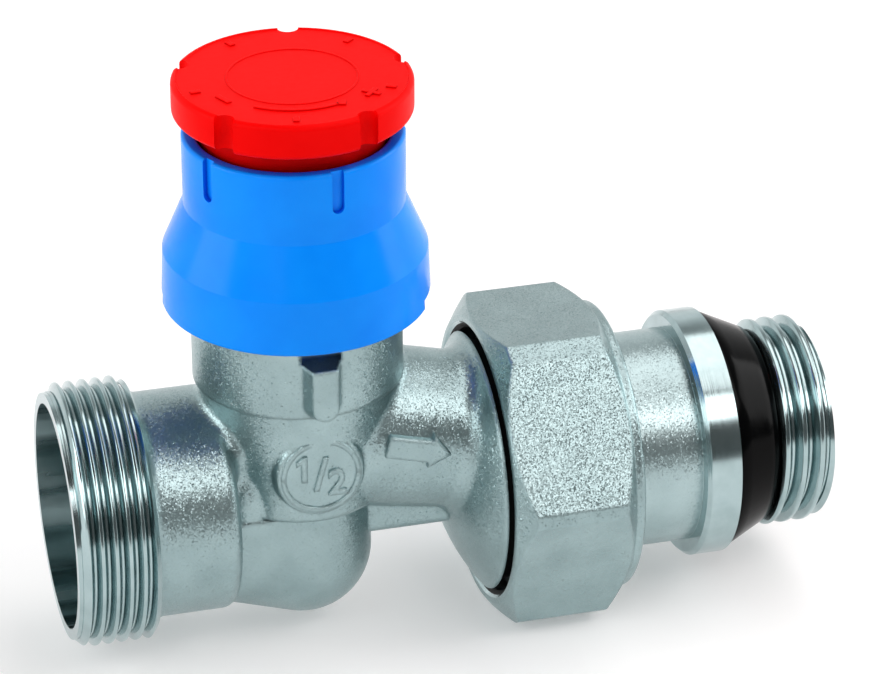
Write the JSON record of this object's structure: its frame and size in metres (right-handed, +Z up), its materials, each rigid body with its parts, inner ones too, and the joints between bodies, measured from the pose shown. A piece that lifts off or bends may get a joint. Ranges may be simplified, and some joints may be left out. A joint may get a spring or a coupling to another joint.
{
  "type": "straight radiator valve",
  "caption": "Straight radiator valve: forged nickel-plated body with a threaded inlet, union nut and tail, and a blue collar with a red hand knob.",
  "frame": {"origin": "centre of the radiator thread where it starts beside the rubber seal ring", "axes": "+X along the flow axis out of the tail towards the radiator, +Z up the spindle towards the knob"},
  "size_m": [0.0771, 0.0334, 0.0599],
  "materials": {
    "forged_nickel": "nickel-plated forged brass, blasted satin",
    "turned_nickel": "nickel-plated turned brass, bright",
    "bare_brass": "turned brass",
    "spring_steel": "plain steel",
    "black_rubber": "smooth black rubber",
    "white_plastic": "plain white plastic",
    "blue_plastic": "glossy bright blue moulding",
    "red_plastic": "satin bright red moulding"
  },
  "bodies": {
    "tail": {"tailpiece": "turned_nickel", "split_ring": "spring_steel", "union_o_ring": "black_rubber", "self_seal_ring": "black_rubber"},
    "nut": {"union_nut": "forged_nickel"},
    "valve": {"valve_body": "forged_nickel", "bonnet": "bare_brass", "bonnet_o_ring": "black_rubber", "gland_nut": "bare_brass", "packing_washer": "white_plastic", "stem_o_ring": "black_rubber", "return_spring": "spring_steel", "head_collar": "blue_plastic"},
    "spindle": {"stem": "spring_steel", "disc_holder": "bare_brass", "disc_seal": "black_rubber", "disc_washer": "spring_steel", "disc_nut": "bare_brass", "spring_washer": "bare_brass", "circlip": "spring_steel"},
    "hand_knob": {"knob": "red_plastic"}
  },
  "joints": [
    {"name": "nut_turn", "type": "hinge", "parent": "tail", "child": "nut", "pos_m": [-0.022, 0, 0], "axis": [1, 0, 0], "range_deg": [0, 1800]},
    {"name": "union_pull", "type": "slide", "parent": "tail", "child": "valve", "axis": [-1, 0, 0], "range_m": [0, 0.00906]},
    {"name": "stem_slide", "type": "slide", "parent": "valve", "child": "spindle", "axis": [0, 0, 1], "range_m": [-0.00187, 0], "deforming": ["return_spring"]},
    {"name": "knob_turn", "type": "hinge", "parent": "spindle", "child": "hand_knob", "pos_m": [-0.047, 0, 0.042], "axis": [0, 0, 1], "range_deg": [-270, 0]}
  ],
  "couplings": [
    {"joint": "nut_turn", "follows": "union_pull", "rad_per_m": 3463.7},
    {"joint": "stem_slide", "follows": "knob_turn", "m_per_rad": 0.00039789}
  ]
}
